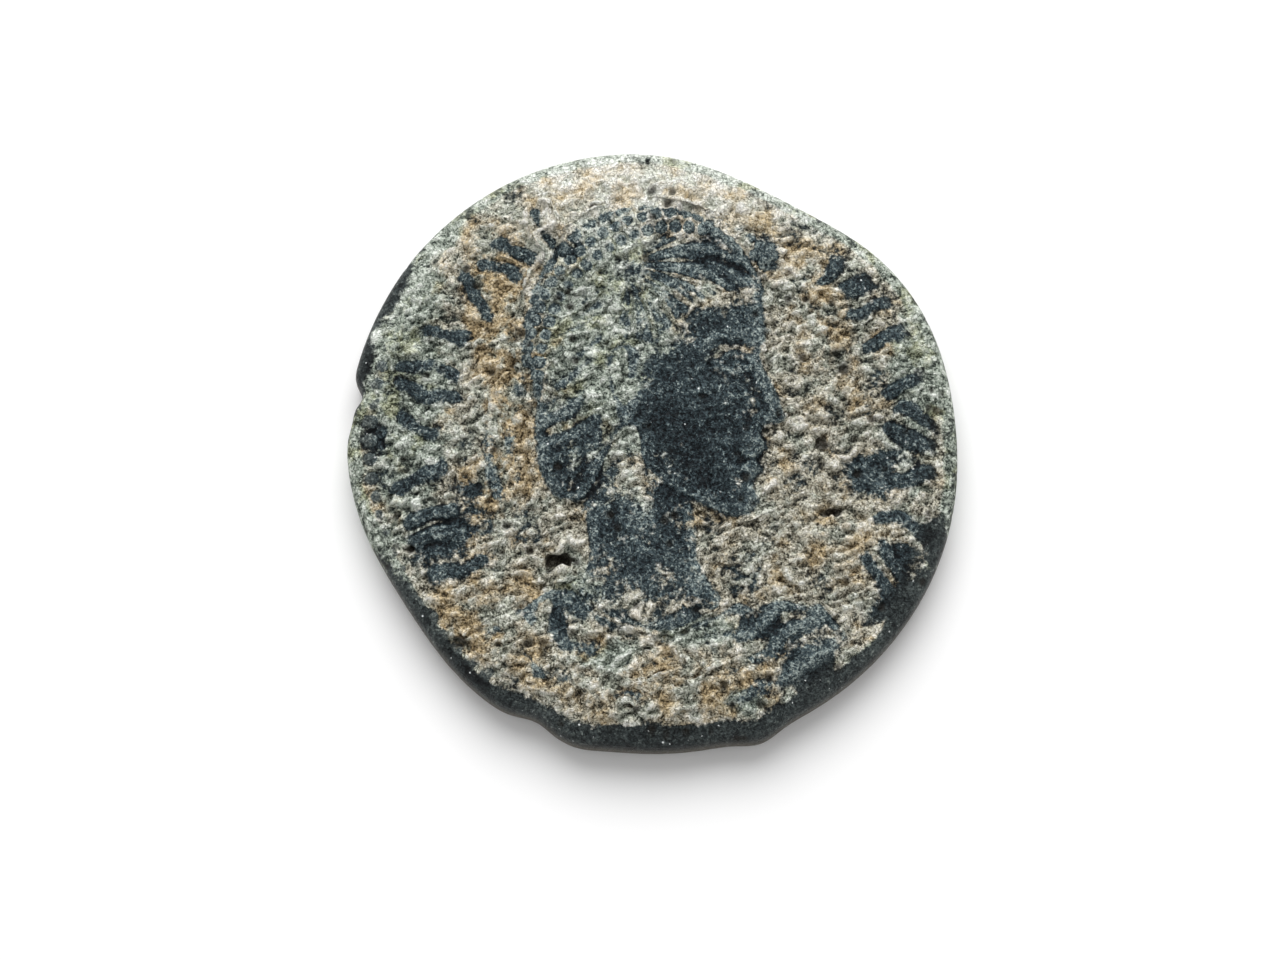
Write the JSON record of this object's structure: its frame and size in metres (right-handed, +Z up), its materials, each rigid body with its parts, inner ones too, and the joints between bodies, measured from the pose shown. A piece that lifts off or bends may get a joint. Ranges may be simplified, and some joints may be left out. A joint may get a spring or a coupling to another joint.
{
  "type": "roman bronze coin",
  "caption": "Small worn late Roman bronze coin with a diademed, draped bust on one side and a wreath on the other.",
  "frame": {"origin": "middle of the flan's outline, on the plane that the reverse rests on", "axes": "+Z up out of the obverse, +Y to the crown of the head, +X to the right of the obverse"},
  "size_m": [0.017, 0.0172, 0.002],
  "materials": {
    "patinated_bronze": "blue-black bronze patina on the high points, sandy tan and grey-green soil crust in the fields"
  },
  "bodies": {
    "root": {"coin": "patinated_bronze"}
  },
  "joints": []
}
